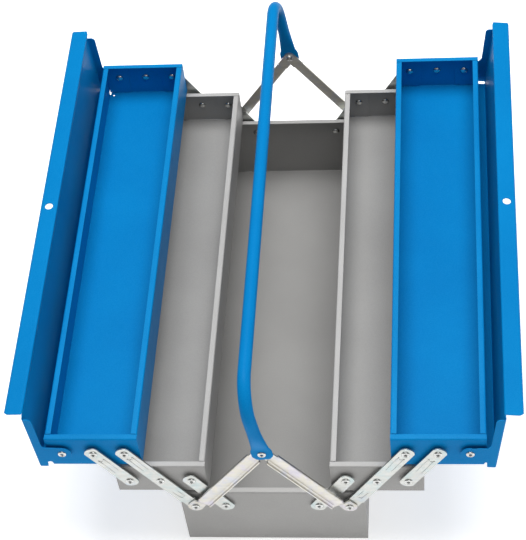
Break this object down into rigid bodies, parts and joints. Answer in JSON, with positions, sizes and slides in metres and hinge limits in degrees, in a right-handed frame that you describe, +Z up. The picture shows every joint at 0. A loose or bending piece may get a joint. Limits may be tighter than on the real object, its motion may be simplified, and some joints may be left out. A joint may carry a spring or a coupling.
{
  "type": "cantilever tool box",
  "caption": "Open steel tool box whose trays and lids fold out on both sides on parallel links, with a round tube carrying handle on an A-frame.",
  "frame": {"origin": "centre of the base's underside", "axes": "+X to the right, +Y to the rear along the box, +Z up"},
  "size_m": [0.5243, 0.5934, 0.3015],
  "materials": {
    "blue_paint": "satin powder coat",
    "grey_paint": "satin powder coat",
    "zinc_plate": "bright zinc plate",
    "rivet_steel": "bright"
  },
  "bodies": {
    "base_frame": {"base": "grey_paint", "front_left_arm": "zinc_plate", "rear_left_arm": "zinc_plate", "front_left_base_outer_rivet": "rivet_steel", "front_left_base_inner_rivet": "rivet_steel", "rear_left_base_outer_rivet": "rivet_steel", "rear_left_base_inner_rivet": "rivet_steel", "front_right_arm": "zinc_plate", "rear_right_arm": "zinc_plate", "front_right_base_outer_rivet": "rivet_steel", "front_right_base_inner_rivet": "rivet_steel", "rear_right_base_outer_rivet": "rivet_steel", "rear_right_base_inner_rivet": "rivet_steel", "front_handle_rivet": "rivet_steel", "rear_handle_rivet": "rivet_steel"},
    "handle": {"handle": "blue_paint"},
    "left_long_links": {"front_left_long_link": "zinc_plate", "rear_left_long_link": "zinc_plate"},
    "left_inner_links": {"front_left_inner_link": "zinc_plate", "rear_left_inner_link": "zinc_plate"},
    "left_outer_links": {"front_left_outer_link": "zinc_plate", "rear_left_outer_link": "zinc_plate"},
    "left_middle_tray": {"left_middle_tray": "grey_paint", "front_left_middle_inner_rivet": "rivet_steel", "front_left_middle_centre_rivet": "rivet_steel", "front_left_middle_outer_rivet": "rivet_steel", "rear_left_middle_inner_rivet": "rivet_steel", "rear_left_middle_centre_rivet": "rivet_steel", "rear_left_middle_outer_rivet": "rivet_steel"},
    "left_upper_tray": {"left_upper_tray": "blue_paint", "front_left_upper_inner_rivet": "rivet_steel", "front_left_upper_centre_rivet": "rivet_steel", "front_left_lid_rivet": "rivet_steel", "rear_left_upper_inner_rivet": "rivet_steel", "rear_left_upper_centre_rivet": "rivet_steel", "rear_left_lid_rivet": "rivet_steel"},
    "left_lid": {"left_lid": "blue_paint"},
    "right_long_links": {"front_right_long_link": "zinc_plate", "rear_right_long_link": "zinc_plate"},
    "right_inner_links": {"front_right_inner_link": "zinc_plate", "rear_right_inner_link": "zinc_plate"},
    "right_outer_links": {"front_right_outer_link": "zinc_plate", "rear_right_outer_link": "zinc_plate"},
    "right_middle_tray": {"right_middle_tray": "grey_paint", "front_right_middle_inner_rivet": "rivet_steel", "front_right_middle_centre_rivet": "rivet_steel", "front_right_middle_outer_rivet": "rivet_steel", "rear_right_middle_inner_rivet": "rivet_steel", "rear_right_middle_centre_rivet": "rivet_steel", "rear_right_middle_outer_rivet": "rivet_steel"},
    "right_upper_tray": {"right_upper_tray": "blue_paint", "front_right_upper_inner_rivet": "rivet_steel", "front_right_upper_centre_rivet": "rivet_steel", "front_right_lid_rivet": "rivet_steel", "rear_right_upper_inner_rivet": "rivet_steel", "rear_right_upper_centre_rivet": "rivet_steel", "rear_right_lid_rivet": "rivet_steel"},
    "right_lid": {"right_lid": "blue_paint"}
  },
  "joints": [
    {"name": "left_swing", "type": "hinge", "parent": "base_frame", "child": "left_long_links", "pos_m": [-0.0836, 0, 0.0757], "axis": [0, 1, 0], "range_deg": [0, 63.33]},
    {"name": "left_inner_link_swing", "type": "hinge", "parent": "base_frame", "child": "left_inner_links", "pos_m": [-0.0506, 0, 0.0757], "axis": [0, 1, 0], "range_deg": [0, 63.33]},
    {"name": "left_middle_tray_level", "type": "hinge", "parent": "left_long_links", "child": "left_middle_tray", "pos_m": [-0.11499, 0, 0.12795], "axis": [0, 1, 0], "range_deg": [-63.33, 0]},
    {"name": "left_upper_tray_level", "type": "hinge", "parent": "left_long_links", "child": "left_upper_tray", "pos_m": [-0.14638, 0, 0.18019], "axis": [0, 1, 0], "range_deg": [-63.33, 0]},
    {"name": "left_outer_link_swing", "type": "hinge", "parent": "left_middle_tray", "child": "left_outer_links", "pos_m": [-0.14799, 0, 0.12795], "axis": [0, 1, 0], "range_deg": [0, 63.33]},
    {"name": "left_lid_hinge", "type": "hinge", "parent": "left_upper_tray", "child": "left_lid", "pos_m": [-0.21238, 0, 0.18019], "axis": [0, 1, 0], "range_deg": [-4, 92]},
    {"name": "right_swing", "type": "hinge", "parent": "base_frame", "child": "right_long_links", "pos_m": [0.0836, 0, 0.0757], "axis": [0, -1, 0], "range_deg": [0, 63.33]},
    {"name": "right_inner_link_swing", "type": "hinge", "parent": "base_frame", "child": "right_inner_links", "pos_m": [0.0506, 0, 0.0757], "axis": [0, -1, 0], "range_deg": [0, 63.33]},
    {"name": "right_middle_tray_level", "type": "hinge", "parent": "right_long_links", "child": "right_middle_tray", "pos_m": [0.11499, 0, 0.12795], "axis": [0, -1, 0], "range_deg": [-63.33, 0]},
    {"name": "right_upper_tray_level", "type": "hinge", "parent": "right_long_links", "child": "right_upper_tray", "pos_m": [0.14638, 0, 0.18019], "axis": [0, -1, 0], "range_deg": [-63.33, 0]},
    {"name": "right_outer_link_swing", "type": "hinge", "parent": "right_middle_tray", "child": "right_outer_links", "pos_m": [0.14799, 0, 0.12795], "axis": [0, -1, 0], "range_deg": [0, 63.33]},
    {"name": "right_lid_hinge", "type": "hinge", "parent": "right_upper_tray", "child": "right_lid", "pos_m": [0.21238, 0, 0.18019], "axis": [0, -1, 0], "range_deg": [0, 96]},
    {"name": "handle_hinge", "type": "hinge", "parent": "base_frame", "child": "handle", "pos_m": [0, 0, 0.1963], "axis": [0, 1, 0], "range_deg": [-70, 82]}
  ],
  "couplings": [
    {"joint": "left_inner_link_swing", "follows": "left_swing", "ratio": 1},
    {"joint": "left_middle_tray_level", "follows": "left_swing", "ratio": -1},
    {"joint": "left_upper_tray_level", "follows": "left_swing", "ratio": -1},
    {"joint": "left_outer_link_swing", "follows": "left_swing", "ratio": 1},
    {"joint": "right_inner_link_swing", "follows": "right_swing", "ratio": 1},
    {"joint": "right_middle_tray_level", "follows": "right_swing", "ratio": -1},
    {"joint": "right_upper_tray_level", "follows": "right_swing", "ratio": -1},
    {"joint": "right_outer_link_swing", "follows": "right_swing", "ratio": 1}
  ]
}
